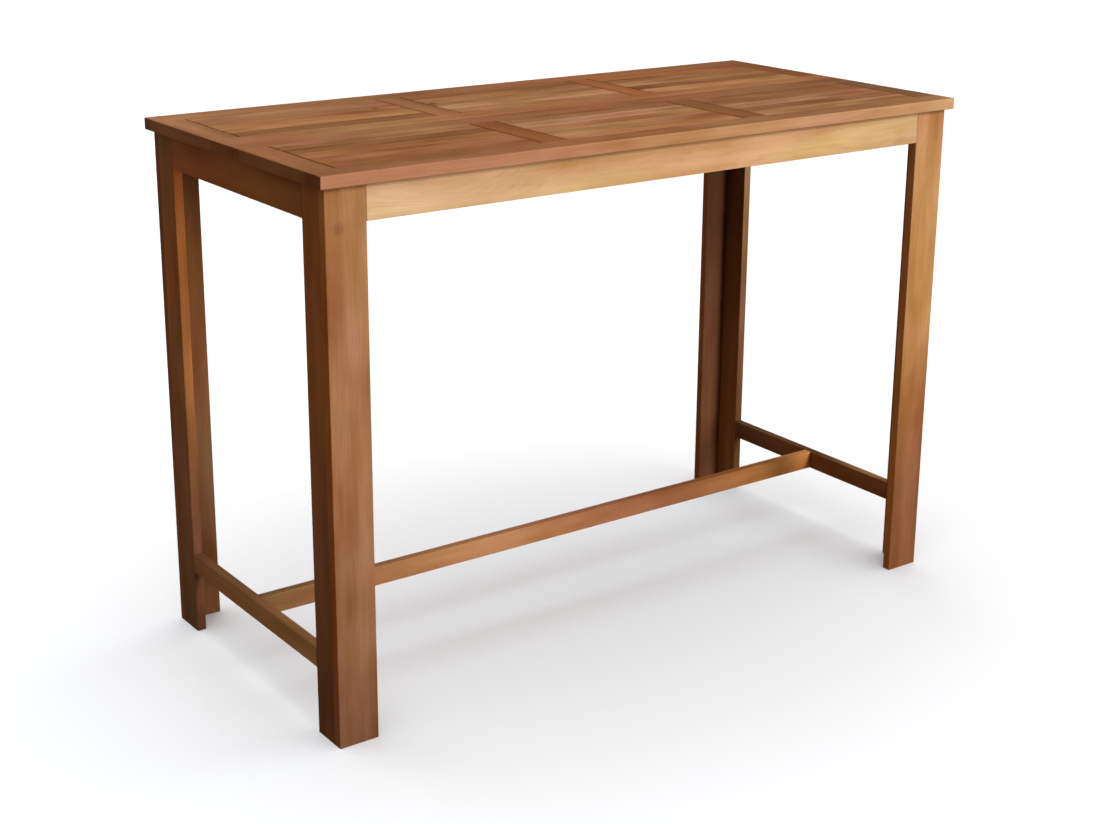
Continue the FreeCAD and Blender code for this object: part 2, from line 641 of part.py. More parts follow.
def make_apron_dowels(dowel):
    """Dowels between the aprons and the legs, half in each."""
    copies = []
    for end in ENDS:
        for side in SIDES:
            for height in APRON_DOWEL_HEIGHTS:
                board_y = f"{side} * ({LEG_Y} - board_thickness / 2)"
                foot = (f"{end} * {APRON_X} - dowel_length / 2", board_y, height)
                copies.append(put_copy(dowel, "apron_dowel", foot, Vector(1, 0, 0)))
                board_x = f"{end} * ({LEG_X} - board_thickness / 2)"
                foot = (board_x, f"{side} * {APRON_Y} - dowel_length / 2", height)
                copies.append(put_copy(dowel, "apron_dowel", foot, Vector(0, 1, 0)))
    keep(group("apron_dowels", copies))


def make_stretcher_dowels(dowel):
    """Dowels that join the short stretchers to the legs, and the long stretcher to the short ones."""
    copies = []
    for end in ENDS:
        for height in STRETCHER_DOWEL_HEIGHTS:
            middle = f"{end} * ({LEG_X} - board_thickness / 2)"
            for side in SIDES:
                foot = (middle, f"{side} * {APRON_Y} - dowel_length / 2", height)
                copies.append(put_copy(dowel, "stretcher_dowel", foot, Vector(0, 1, 0)))
            foot = (f"{end} * ({INNER_X} + dowel_shallow_depth)", "0", height)
            copies.append(put_copy(dowel, "stretcher_dowel", foot, Vector(-end, 0, 0)))
    keep(group("stretcher_dowels", copies))


def make_leg_dowels(dowel):
    """Dowels along the seam of each leg, shallow in the face board and deep in the side board's edge."""
    copies = []
    for end in ENDS:
        for side in SIDES:
            for share in LEG_DOWEL_SHARES:
                foot = (
                    f"{end} * ({LEG_X} - board_thickness / 2)",
                    f"{side} * ({INNER_Y} + dowel_shallow_depth)",
                    f"{share} * {UNDER_TOP}",
                )
                copies.append(put_copy(dowel, "leg_dowel", foot, Vector(0, -side, 0)))
    keep(group("leg_dowels", copies))


def make_centre_dowels(dowel):
    """Dowels across the joint of the two centre rails."""
    height = f"{UNDER_TOP} + top_thickness / 2"
    copies = []
    for along in BETWEEN_BATTENS:
        foot = (along, "-dowel_length / 2", height)
        copies.append(put_copy(dowel, "centre_dowel", foot, Vector(0, 1, 0)))
    keep(group("centre_rail_dowels", copies))


def make_batten_screws(screw):
    """Screws up through the battens, their heads under the battens."""
    copies = []
    for step in BATTEN_STEPS:
        for along in batten_screws(step):
            foot = (f"{step} * {BATTEN_PITCH}", along, f"{UNDER_TOP} - batten_thickness")
            copies.append(put_copy(screw, "batten_screw", foot, Vector(0, 0, 1)))
    keep(group("batten_screws", copies))


def make_top_screws(screw):
    """Screws up through the cleats into the outer rails and the end rails."""
    under_cleat = f"{UNDER_TOP} - cleat_height"
    copies = []
    for side in SIDES:
        for step in BATTEN_STEPS:
            foot = (f"{step} * {BATTEN_PITCH}", f"{side} * ({INNER_Y} - cleat_screw_inset)", under_cleat)
            copies.append(put_copy(screw, "top_screw", foot, Vector(0, 0, 1)))
    for end in ENDS:
        for sign in "-+":
            foot = (f"{end} * ({INNER_X} - cleat_screw_inset)", f"{sign}{ROW_MIDDLE}", under_cleat)
            copies.append(put_copy(screw, "top_screw", foot, Vector(0, 0, 1)))
    keep(group("top_screws", copies))


def make_cleat_screws(screw):
    """Screws outwards through the cleats into the aprons and legs."""
    copies = []
    for side in SIDES:
        for along in long_cleat_screws():
            foot = (along, f"{side} * {CLEAT_Y}", CLEAT_SCREW_HEIGHT)
            copies.append(put_copy(screw, "cleat_screw", foot, Vector(0, side, 0)))
    for end in ENDS:
        for along in short_cleat_screws():
            foot = (f"{end} * ({INNER_X} - cleat_width)", along, CLEAT_SCREW_HEIGHT)
            copies.append(put_copy(screw, "cleat_screw", foot, Vector(end, 0, 0)))
    keep(group("cleat_screws", copies))


def make_base():
    """Legs, aprons, cleats and stretchers."""
    for end in ENDS:
        for side in SIDES:
            make_leg(end, side)
    for side in SIDES:
        make_long_apron(side)
        make_long_cleat(side)
    for end in ENDS:
        make_short_apron(end)
        make_short_cleat(end)
        make_short_stretcher(end)
    make_long_stretcher()


def make_top():
    """The tabletop and the battens under it."""
    for side in SIDES:
        make_outer_rail(side)
        make_centre_rail(side)
    for row in SIDES:
        for end in ENDS:
            make_end_rail(end, row)
            make_cross_rail(end, row)
        for column in PANELS:
            make_panel(column, row)
    for number, step in enumerate(BATTEN_STEPS, start=1):
        make_batten(number, step)


def make_fasteners():
    """Dowels and screws, each a copy of a pattern one."""
    dowel = make_dowel()
    make_apron_dowels(dowel)
    make_stretcher_dowels(dowel)
    make_leg_dowels(dowel)
    make_centre_dowels(dowel)
    make_batten_screws(make_screw("batten_screw_pattern", "batten_screw_length"))
    cleat_screw = make_screw("cleat_screw_pattern", "cleat_screw_length")
    make_top_screws(cleat_screw)
    make_cleat_screws(cleat_screw)


def check_and_write():
    """Stops if anything failed, then writes one file for each node."""
    doc.recompute()
    for item in doc.Objects:
        if "Invalid" in item.State or "Error" in item.State:
            raise RuntimeError(f"{item.Name} failed: {item.State}")
    for node in nodes:
        if node.Shape.isNull() or not node.Shape.isValid() or not node.Shape.Solids:
            raise RuntimeError(f"{node.Label} has no valid solid")
    os.makedirs("parts", exist_ok=True)
    for node in nodes:
        node.Shape.exportStep(f"parts/{node.Label}.step")
        print(node.Label, len(node.Shape.Solids), round(node.Shape.Volume))


fill_sheet()
make_base()
make_top()
make_fasteners()
check_and_write()
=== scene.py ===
"""Looks of the bar table: oiled hardwood boards with their own grain and shade, on a pale studio floor."""

import math

import bmesh
import bpy
from mathutils import Matrix, Vector


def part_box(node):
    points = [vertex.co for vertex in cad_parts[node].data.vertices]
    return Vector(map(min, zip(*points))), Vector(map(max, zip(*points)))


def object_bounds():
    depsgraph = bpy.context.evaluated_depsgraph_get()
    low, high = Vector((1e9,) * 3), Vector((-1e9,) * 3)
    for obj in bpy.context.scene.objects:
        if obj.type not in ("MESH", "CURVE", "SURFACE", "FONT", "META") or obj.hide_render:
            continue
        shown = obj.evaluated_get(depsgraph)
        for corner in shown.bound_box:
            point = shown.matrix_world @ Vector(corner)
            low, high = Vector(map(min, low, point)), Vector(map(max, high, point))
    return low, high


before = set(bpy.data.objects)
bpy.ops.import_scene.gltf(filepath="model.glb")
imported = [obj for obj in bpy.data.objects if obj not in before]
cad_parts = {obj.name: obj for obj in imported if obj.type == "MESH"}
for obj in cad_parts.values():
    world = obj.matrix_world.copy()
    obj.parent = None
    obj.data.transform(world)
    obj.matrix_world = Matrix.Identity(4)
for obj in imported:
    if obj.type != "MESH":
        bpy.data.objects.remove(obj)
CAD_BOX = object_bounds()

# Camera: where the photograph was taken from, in metres and degrees. The shift is a share of the width.
PHOTO_WIDTH_PIXELS = 1100
FOCAL_PIXELS = 1811.45
SENSOR_WIDTH_MILLIMETRES = 36.0
CAMERA_PLACE = Vector((-2.1386, -2.9205, 1.6316))
CAMERA_AZIMUTH = -35.76
CAMERA_ELEVATION = 16.64
CAMERA_ROLL = 0.37
CAMERA_SHIFT = -0.06

# Light on the table: a soft key from the front right, a lower one that reaches under the top, a weak one
# from behind for the far sides, and a warm sky that is dimmest at the left. Angles are in degrees.
KEY_AZIMUTH = 18.0
KEY_ELEVATION = 31.0
KEY_STRENGTH = 0.62
KEY_SOFTNESS = 22.0
LOW_AZIMUTH = 10.0
LOW_ELEVATION = 5.0
LOW_STRENGTH = 0.36
LOW_SOFTNESS = 20.0
BACK_AZIMUTH = 158.0
BACK_ELEVATION = 2.0
BACK_STRENGTH = 0.34
BACK_SOFTNESS = 16.0
SKY_DIM = 0.13
SKY_BRIGHT = 0.44
SKY_BRIGHT_SIDE = Vector((0.6, 0.4, 0.7)).normalized()
SKY_BLEND_RANGE = (-0.6, 0.9)
SKY_COLOUR = (1.0, 0.76, 0.54, 1.0)

# Pale floor with its own light, and a pale backdrop all round: sizes in metres, cloud in waves per metre
FLOOR_RADIUS = 40.0
FLOOR_SIDES = 96
FLOOR_COLOUR = (0.80, 0.86, 0.93, 1.0)
FLOOR_CLOUD_COLOUR = (0.79, 0.85, 0.92, 1.0)
FLOOR_CLOUD = (2.0, 2.0, 2.0)
FLOOR_ROUGHNESS = 0.9
FLOOR_DROP = 0.0002
FLOOR_LIGHT = 0.20
FLOOR_FILL = 0.86
FLOOR_LIGHT_SOFTNESS = 100.0
OVERHEAD = 90.0
BACKDROP_RADIUS = 39.0
BACKDROP_SUBDIVISIONS = 4
BACKDROP_COLOUR = (1.0, 1.0, 1.0, 1.0)
BLACK = (0.0, 0.0, 0.0, 1.0)

# Wood shades, as the eye sees them in even light, from 0 to 255
SHADES = {
    "cream": (214, 180, 136),
    "straw": (206, 168, 120),
    "golden": (218, 172, 122),
    "flame": (246, 160, 88),
    "apricot": (230, 158, 92),
    "copper": (204, 130, 64),
    "oat": (208, 160, 116),
    "honey": (204, 152, 104),
    "fawn": (200, 152, 114),
    "blush": (191, 140, 102),
    "sand": (188, 143, 92),
    "tan": (192, 138, 94),
    "peach": (185, 134, 92),
    "ginger": (194, 122, 66),
    "amber": (180, 123, 79),
    "brass": (172, 127, 68),
    "rose": (170, 116, 79),
    "hazel": (162, 118, 80),
    "olive": (163, 111, 71),
    "russet": (165, 105, 64),
    "brown": (152, 98, 58),
    "ochre": (167, 104, 54),
    "cocoa": (151, 93, 44),
    "driftwood": (124, 95, 64),
    "chestnut": (138, 90, 58),
    "umber": (116, 74, 51),
    "walnut": (104, 68, 45),
    "bark": (92, 57, 35),
}

# Shades of each board from its low end to its high end, along the grain. On the legs they grow darker towards
# the feet, which is painted shade for light falling off downwards.
BOARD_SHADES = {
    "top_rail_front": ("brown", "blush", "ochre", "blush", "hazel", "peach"),
    "top_rail_centre_front": ("rose", "tan", "olive", "russet", "rose", "chestnut"),
    "top_rail_centre_back": ("blush", "tan", "tan", "ochre", "tan", "amber"),
    "top_rail_back": ("blush", "rose", "hazel", "ochre", "amber", "chestnut"),
    "end_rail_front_left": ("olive", "amber"),
    "end_rail_back_left": ("rose", "peach"),
    "end_rail_front_right": ("hazel", "umber"),
    "end_rail_back_right": ("cocoa", "cocoa"),
    "cross_rail_front_left": ("ochre", "ochre"),
    "cross_rail_front_right": ("cocoa", "brown"),
    "cross_rail_back_left": ("tan", "tan", "olive", "olive"),
    "cross_rail_back_right": ("ginger", "cocoa"),
    "apron_front": ("cream", "straw", "golden", "cream"),
    "apron_back": ("honey", "golden"),
    "apron_left": ("ochre", "copper", "ginger"),
    "apron_right": ("amber", "russet"),
    "leg_front_left_face_board": ("walnut", "hazel", "hazel", "rose"),
    "leg_front_left_side_board": ("chestnut", "hazel", "ginger", "ginger"),
    "leg_front_right_face_board": ("chestnut", "chestnut", "russet", "honey", "brass", "honey"),
    "leg_front_right_side_board": ("russet", "amber"),
    "leg_back_left_face_board": ("russet", "russet"),
    "leg_back_left_side_board": ("driftwood", "olive", "amber", "copper", "rose"),
    "leg_back_right_face_board": ("russet", "amber"),
    "leg_back_right_side_board": ("russet", "amber"),
    "stretcher_left": ("golden", "honey", "amber"),
    "stretcher_right": ("brown", "russet", "driftwood"),
    "stretcher_long": ("driftwood", "olive", "peach", "rose", "chestnut", "apricot"),
}

# Painted light and shade: some faces of a board, the front one, the left one or the top one, get shades of
# their own, lighter or darker than the rest of it to stand for light on them or shade over them
FRONT_PAINTED_SHADING = {
    "top_rail_front": ("rose", "blush", "fawn", "fawn"),
    "leg_back_left_face_board": ("walnut", "walnut", "driftwood", "brown", "cocoa", "bark"),
    "leg_back_left_side_board": ("bark", "umber", "brown", "flame", "flame"),
    "leg_back_right_face_board": ("umber", "umber", "bark", "bark"),
    "leg_back_right_side_board": ("walnut", "walnut", "hazel", "driftwood"),
}
LEFT_PAINTED_SHADING = {
    "leg_front_left_face_board": ("russet", "copper", "copper", "apricot"),
    "leg_front_right_face_board": ("apricot", "apricot", "apricot", "honey"),
    "leg_back_right_side_board": ("tan", "hazel", "umber", "umber"),
}
TOP_PAINTED_SHADING = {
    "stretcher_left": ("cream", "tan", "chestnut", "driftwood", "umber"),
    "stretcher_right": ("sand", "bark", "walnut", "walnut"),
}
# Each table of painted light and shade, with the axis that its faces look along and which way
PAINTED_SHADING_TABLES = ((0, -1.0, LEFT_PAINTED_SHADING), (1, -1.0, FRONT_PAINTED_SHADING), (2, 1.0, TOP_PAINTED_SHADING))

# Shades of the five slats of each panel, from the front one to the back one
SLAT_SHADES = {
    "slats_front_left": ("russet", "amber", "amber", "brown", "peach"),
    "slats_front_middle": ("honey", "peach", "tan", "fawn", "rose"),
    "slats_front_right": ("fawn", "rose", "blush", "olive", "rose"),
    "slats_back_left": ("olive", "honey", "amber", "rose", "peach"),
    "slats_back_middle": ("peach", "oat", "blush", "amber", "olive"),
    "slats_back_right": ("honey", "brown", "peach", "olive", "ochre"),
}
SLAT_COUNT = 5

# Small dark knots: their places as shares of the node's box, their radius in metres, and how dark they are
KNOTS = {
    "leg_front_left_face_board": ((0.33, 0.0, 0.93), 0.009, 0.3),
    "slats_back_middle": ((0.05, 0.54, 1.0), 0.008, 1.0),
    "slats_back_left": ((0.85, 0.59, 1.0), 0.006, 0.8),
}
KNOT_CORE_SHARE = 0.2
KNOT_RIM_SHARE = 2.0

# Boards that lie under the tabletop, out of the photograph's sight
HIDDEN_BOARDS = (
    "cleat_front",
    "cleat_back",
    "cleat_left",
    "cleat_right",
    "batten_1",
    "batten_2",
    "batten_3",
    "batten_4",
    "batten_5",
)
HIDDEN_SHADES = ("cream", "honey")
DOWEL_NODES = ("apron_dowels", "stretcher_dowels", "leg_dowels", "centre_rail_dowels")
SCREW_NODES = ("batten_screws", "top_screws", "cleat_screws")

# Each board and each slat takes its grain from another place in the noise
BOARD_SEED = 11.0
BOARD_SEED_STEP = 1.37
SLAT_SEED = 101.0
SLAT_PANEL_SEED_STEP = 9.0
SEED_STRIDE = (3.71, 1.93, 2.57)

# Noises of the grain: waves per metre along, across and through a board, then octaves and their roughness.
# A range is the span of a noise over which what it draws sets in.
GRAIN_NOISES = {
    "broad": ((2.4, 23.0, 23.0), 2.0, 0.55),
    "blotch": ((7.0, 15.0, 15.0), 2.0, 0.5),
    "narrow": ((6.0, 170.0, 170.0), 3.0, 0.6),
    "fibre": ((34.0, 1100.0, 1100.0), 2.0, 0.6),
}
PORE = (70.0, 1000.0, 1000.0)
PORE_RANGE = (0.62, 0.72)
HUE_PATCH = (3.0, 16.0, 16.0)
HUE_RANGE = (0.32, 0.68)
NOISE_MIDDLE = 0.5

# Growth rings run round the tree's heart, which lies beside the board. Sizes are in metres.
RINGS_PER_METRE = 150.0
RING_SHARPNESS = 2.2
RING_DRIFT = 0.15
RING_DRIFT_NOISE = (1.6, 9.0, 9.0)
RING_DRIFT_THROUGH_SHARE = 0.8
RING_WOBBLE_TURNS = 2.6
RING_WOBBLE_NOISE = (5.0, 60.0, 60.0)
RING_BLOTCH_RANGE = (-0.15, 0.2)
RING_SHADE_RANGE = (0.02, 0.12)
KNOT_TURNS = 3.0
HEART_SPREAD = 0.16
HEART_DEPTH = 0.03
HEART_DEPTH_SPREAD = 0.09

# How much each part of the grain lightens the wood: the bands, which follow a board's figure, and the rest
BAND_LIGHT = {"broad": 1.1, "blotch": 0.8}
# The edge entry lightens board edges: partly wear, partly painted highlight.
FINE_LIGHT = {"narrow": 0.28, "fibre": 0.14, "ring_shade": -1.0, "pore": -0.12, "edge": 0.12}
MIDDLE_LIGHT = 0.5

# Figure: how strongly the light and dark bands show
BOARD_FIGURE = 1.25
SLAT_FIGURE = 1.8
FIGURES = {"apron_front": 0.9}

# How much each part of the grain roughens the surface, and raises it
PLAIN_ROUGHNESS = 0.52
ROUGHENING = {"narrow": 0.16, "pore": 0.12, "end": 0.16, "edge": -0.05}
RELIEF = {"fibre": 0.5, "narrow": 0.5, "pore": -0.7, "ring": -0.15}

# Tints, which a shade is multiplied by
DARK_TINT = (0.66, 0.51, 0.29, 1.0)
LIGHT_TINT = (1.24, 1.35, 1.60, 1.0)
PINK_TINT = (1.03, 0.98, 1.01, 1.0)
GOLDEN_TINT = (0.98, 1.01, 0.83, 1.0)
END_TINT = (0.82, 0.76, 0.70, 1.0)
KNOT_TINT = (0.22, 0.16, 0.14, 1.0)

# Surface of the wood, with edges lightened in patches, partly wear and partly painted highlight: lengths in
# metres, patches in waves per metre.
# How squarely a face looks along an axis runs from 0 to 1.
BUMP_DEPTH = 0.00022
BUMP_STRENGTH = 0.55
GLOSS = 0.12
EDGE_REACH = 0.0022
WEAR_AND_HIGHLIGHT_PATCH = (14.0, 14.0, 14.0)
END_FACING = (0.6, 0.9)
# The last range picks the faces that carry painted light and shade.
PAINTED_FACE_FACING = (0.5, 0.9)

# Dowels and screws: streaks, marks and cloud in waves per metre
FINE_OCTAVES = 3.0
DOWEL_STREAK = (300.0, 300.0, 300.0)
DOWEL_ROUGHNESS = 0.5
DOWEL_ROUGHNESS_SPREAD = 0.2
STEEL_MARKS = (900.0, 900.0, 900.0)
STEEL_CLOUD = (160.0, 160.0, 160.0)
STEEL_BRIGHT = (0.62, 0.60, 0.54, 1.0)
STEEL_DULL = (0.48, 0.47, 0.45, 1.0)
STEEL_ROUGHNESS = 0.25
STEEL_ROUGHNESS_SPREAD = 0.3
STEEL_BUMP_STRENGTH = 0.3

# Axes along, across and through a board, by the letter of the axis that its grain follows
AXES = {"X": (0, 1, 2), "Y": (1, 0, 2), "Z": (2, 0, 1)}

# Sockets of the wood group, with the kind of value that each takes or gives
GRAIN_SOCKETS = {
    "INPUT": {
        "Place": "Vector",
        "Seed": "Float",
        "Shade": "Color",
        "End Grain": "Float",
        "Edge": "Float",
        "Knot": "Float",
        "Figure": "Float",
    },
    "OUTPUT": {"Color": "Color", "Roughness": "Float", "Height": "Float"},
}

# Places, in a mix node's lists, of the sockets that mix colours
MIX_SHARE = 0
MIX_FIRST = 6
MIX_SECOND = 7
MIX_RESULT = 2

# The curve between a display's values and the light that it gives
CURVE_FOOT = 0.04045
CURVE_FOOT_SLOPE = 12.92
CURVE_OFFSET = 0.055
CURVE_POWER = 2.4
DISPLAY_WHITE = 255


def linear(shade):
    """The linear colour of a shade given as the eye sees it, from 0 to 255."""
    channels = []
    for value in shade:
        part = value / DISPLAY_WHITE
        if part <= CURVE_FOOT:
            channels.append(part / CURVE_FOOT_SLOPE)
        else:
            channels.append(((part + CURVE_OFFSET) / (1 + CURVE_OFFSET)) ** CURVE_POWER)
    return (*channels, 1.0)


class Tree:
    """One node tree, with short ways to add nodes and join them up."""

    def __init__(self, tree):
        self.tree = tree

    def fill(self, socket, value):
        """Links a socket, or sets its value."""
        if isinstance(value, bpy.types.NodeSocket):
            self.tree.links.new(value, socket)
        else:
            socket.default_value = value

    def fill_all(self, node, values):
        """Links or sets several inputs of a node, each by its name or place."""
        for key, value in values.items():
            self.fill(node.inputs[key], value)

    def node(self, kind, inputs=None, **settings):
        """Adds a node with its settings and inputs."""
        made = self.tree.nodes.new("ShaderNode" + kind)
        for name, value in settings.items():
            setattr(made, name, value)
        self.fill_all(made, inputs or {})
        return made

    def math(self, operation, *values, clamp=False):
        """The result of a sum on one, two or three values."""
        made = self.node("Math", dict(enumerate(values)), operation=operation, use_clamp=clamp)
        return made.outputs[0]

    def vector(self, operation, *values):
        """The result of a sum on vectors."""
        return self.node("VectorMath", dict(enumerate(values)), operation=operation).outputs[0]

    def coordinates(self, name):
        """A place or direction of the surface point: Object, Normal or Generated."""
        return self.node("TexCoord").outputs[name]

    def split(self, vector):
        """The X, Y and Z of a vector."""
        return self.node("SeparateXYZ", {0: vector}).outputs

    def join(self, x, y, z):
        """A vector of three values."""
        return self.node("CombineXYZ", {0: x, 1: y, 2: z}).outputs[0]

    def noise(self, place, waves, detail=2.0, roughness=0.5):
        """Noise from 0 to 1 with that many waves per metre each way."""
        scaled = self.vector("MULTIPLY", place, waves)
        inputs = {"Vector": scaled, "Scale": 1.0, "Detail": detail, "Roughness": roughness}
        return self.node("TexNoise", inputs).outputs["Fac"]

    def step(self, value, low, high, start=0.0, end=1.0):
        """A smooth step from start, where value is low, to end, where it is high."""
        inputs = {"Value": value, "From Min": low, "From Max": high, "To Min": start, "To Max": end}
        return self.node("MapRange", inputs, interpolation_type="SMOOTHSTEP").outputs[0]

    def add_weighted(self, start, values, weights):
        """Start plus each named value times its weight."""
        for name, weight in weights.items():
            start = self.math("MULTIPLY_ADD", values[name], weight, start)
        return start

    def mix(self, share, first, second, blend="MIX"):
        """A mix of two colours."""
        inputs = {MIX_SHARE: share, MIX_FIRST: first, MIX_SECOND: second}
        return self.node("Mix", inputs, data_type="RGBA", blend_type=blend).outputs[MIX_RESULT]

    def tint(self, colour, tint):
        """A colour multiplied by a tint."""
        return self.mix(1.0, colour, tint, "MULTIPLY")

    def ramp(self, value, shades, constant=False):
        """A colour from shades spread evenly over values from 0 to 1: blended, or each in its own span."""
        made = self.node("ValToRGB", {"Fac": value})
        band = made.color_ramp
        band.interpolation = "CONSTANT" if constant else "B_SPLINE"
        spaces = len(shades) if constant else len(shades) - 1
        while len(band.elements) < len(shades):
            band.elements.new(1.0)
        for index in range(len(shades)):
            band.elements[index].position = index / spaces
        for element, name in zip(band.elements, shades):
            element.color = linear(SHADES[name])
        return made.outputs["Color"]

    def bump(self, height, strength):
        """The direction that a surface with fine relief faces."""
        inputs = {"Strength": strength, "Distance": BUMP_DEPTH, "Height": height}
        return self.node("Bump", inputs).outputs[0]


def new_material(name):
    """An empty material, its node tree and its shader."""
    material = bpy.data.materials.new(name)
    material.use_nodes = True
    tree = Tree(material.node_tree)
    tree.tree.nodes.clear()
    shader = tree.node("BsdfPrincipled")
    tree.node("OutputMaterial", {"Surface": shader.outputs[0]})
    return material, tree, shader


def growth_rings(tree, given, place):
    """One on the dark line of each growth ring, falling to nothing between the lines."""
    chance = tree.node("TexWhiteNoise", {"W": given["Seed"]}, noise_dimensions="1D").outputs["Color"]
    chances = tree.node("SeparateColor", {0: chance}).outputs
    parts = tree.split(given["Place"])
    wander = tree.noise(place, RING_DRIFT_NOISE, detail=1.0)
    drift = tree.math("MULTIPLY_ADD", wander, RING_DRIFT, -RING_DRIFT / 2)
    heart_across = tree.math("MULTIPLY_ADD", chances[0], HEART_SPREAD, -HEART_SPREAD / 2)
    heart_through = tree.math("MULTIPLY_ADD", chances[1], HEART_DEPTH_SPREAD, HEART_DEPTH)
    across = tree.math("SUBTRACT", tree.math("ADD", parts[1], drift), heart_across)
    through = tree.math("MULTIPLY_ADD", drift, RING_DRIFT_THROUGH_SHARE, parts[2])
    through = tree.math("ADD", through, heart_through)
    squares = tree.math("ADD", tree.math("MULTIPLY", across, across), tree.math("MULTIPLY", through, through))
    wobble = tree.math("MULTIPLY", tree.noise(place, RING_WOBBLE_NOISE), RING_WOBBLE_TURNS)
    turns = tree.math("MULTIPLY_ADD", tree.math("SQRT", squares), RINGS_PER_METRE, wobble)
    turns = tree.math("MULTIPLY_ADD", given["Knot"], KNOT_TURNS, turns)
    wave = tree.math("SINE", tree.math("MULTIPLY", turns, 2 * math.pi))
    return tree.math("POWER", tree.math("MULTIPLY_ADD", wave, 0.5, 0.5), RING_SHARPNESS)


def grain_parts(tree, given, place):
    """What the wood shows at a place, by name. The noises lie evenly about zero."""
    grain = {"edge": given["Edge"], "end": given["End Grain"]}
    for name, (waves, octaves, roughness) in GRAIN_NOISES.items():
        grain[name] = tree.math("SUBTRACT", tree.noise(place, waves, octaves, roughness), NOISE_MIDDLE)
    grain["pore"] = tree.step(tree.noise(place, PORE, detail=1.0), *PORE_RANGE)
    grain["ring"] = growth_rings(tree, given, place)
    ring_power = tree.step(grain["blotch"], *RING_BLOTCH_RANGE, *RING_SHADE_RANGE)
    grain["ring_shade"] = tree.math("MULTIPLY", grain["ring"], ring_power)
    return grain


def grain_colour(tree, given, place, grain):
    """The colour of the wood: its shade, lightened and darkened by the grain, with knots and end grain."""
    bands = tree.add_weighted(0.0, grain, BAND_LIGHT)
    light = tree.math("MULTIPLY_ADD", bands, given["Figure"], MIDDLE_LIGHT)
    light = tree.math("ADD", tree.add_weighted(light, grain, FINE_LIGHT), 0.0, clamp=True)
    colour = tree.mix(light, tree.tint(given["Shade"], DARK_TINT), tree.tint(given["Shade"], LIGHT_TINT))
    hue = tree.step(tree.noise(place, HUE_PATCH, detail=0.0), *HUE_RANGE)
    colour = tree.mix(hue, tree.tint(colour, PINK_TINT), tree.tint(colour, GOLDEN_TINT))
    colour = tree.mix(given["End Grain"], colour, tree.tint(colour, END_TINT))
    return tree.mix(given["Knot"], colour, tree.tint(colour, KNOT_TINT))


def make_grain_group():
    """Sawn wood. Place is in metres from the board's middle: X along the grain, Y across it, Z through it."""
    group = bpy.data.node_groups.new("sawn_wood", "ShaderNodeTree")
    for way, sockets in GRAIN_SOCKETS.items():
        for name, kind in sockets.items():
            group.interface.new_socket(name, in_out=way, socket_type="NodeSocket" + kind)
    tree = Tree(group)
    given = group.nodes.new("NodeGroupInput").outputs
    seeds = tree.join(given["Seed"], given["Seed"], given["Seed"])
    place = tree.vector("ADD", given["Place"], tree.vector("MULTIPLY", seeds, SEED_STRIDE))
    grain = grain_parts(tree, given, place)
    roughness = tree.add_weighted(PLAIN_ROUGHNESS, grain, ROUGHENING)
    shown = {
        "Color": grain_colour(tree, given, place, grain),
        "Roughness": tree.math("ADD", roughness, 0.0, clamp=True),
        "Height": tree.add_weighted(0.0, grain, RELIEF),
    }
    tree.fill_all(group.nodes.new("NodeGroupOutput"), shown)
    return group


def longest_axis(low, high):
    """The letter of a board's longest side, which its grain follows."""
    sides = high - low
    return "XYZ"[max(range(3), key=lambda axis: sides[axis])]


def nearness_to_edge(tree, offset, half):
    """One on a board's edges, falling to nothing over a short reach: the middle one of its three depths."""
    depths = tree.split(tree.vector("SUBTRACT", half, tree.vector("ABSOLUTE", offset)))
    low = tree.math("MINIMUM", tree.math("MINIMUM", depths[0], depths[1]), depths[2])
    high = tree.math("MAXIMUM", tree.math("MAXIMUM", depths[0], depths[1]), depths[2])
    whole = tree.math("ADD", tree.math("ADD", depths[0], depths[1]), depths[2])
    middle = tree.math("SUBTRACT", whole, tree.math("ADD", low, high))
    return tree.step(middle, 0.0, EDGE_REACH, 1.0, 0.0)


def knot_strength(tree, node):
    """How dark a node's knot is: most in its middle, nothing at its rim."""
    shares, radius, darkness = KNOTS[node]
    low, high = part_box(node)
    middle = tuple(start + share * (end - start) for start, end, share in zip(low, high, shares))
    offset = tree.vector("SUBTRACT", tree.coordinates("Object"), middle)
    distance = tree.node("VectorMath", {0: offset}, operation="LENGTH").outputs["Value"]
    return tree.step(distance, KNOT_CORE_SHARE * radius, KNOT_RIM_SHARE * radius, darkness, 0.0)


def finish_wood(tree, shader, node, offset, half, grain, shade, seed, figure):
    """Joins the wood group to a shader. Offset is the place from the board's middle, in the row frame."""
    parts = tree.split(offset)
    order = AXES[grain]
    facing = tree.split(tree.coordinates("Normal"))[order[0]]
    # Lighter edges in patches: partly wear, partly painted highlight.
    edge = nearness_to_edge(tree, offset, half)
    inputs = {
        "Place": tree.join(*(parts[axis] for axis in order)),
        "Seed": seed,
        "Shade": shade,
        "End Grain": tree.step(tree.math("ABSOLUTE", facing), *END_FACING),
        "Edge": tree.math("MULTIPLY", edge, tree.noise(offset, WEAR_AND_HIGHLIGHT_PATCH)),
        "Knot": knot_strength(tree, node) if node in KNOTS else 0.0,
        "Figure": figure,
    }
    wood = tree.node("Group", inputs, node_tree=WOOD).outputs
    finish = {
        "Base Color": wood["Color"],
        "Roughness": wood["Roughness"],
        "Normal": tree.bump(wood["Height"], BUMP_STRENGTH),
        "Specular IOR Level": GLOSS,
    }
    tree.fill_all(shader, finish)


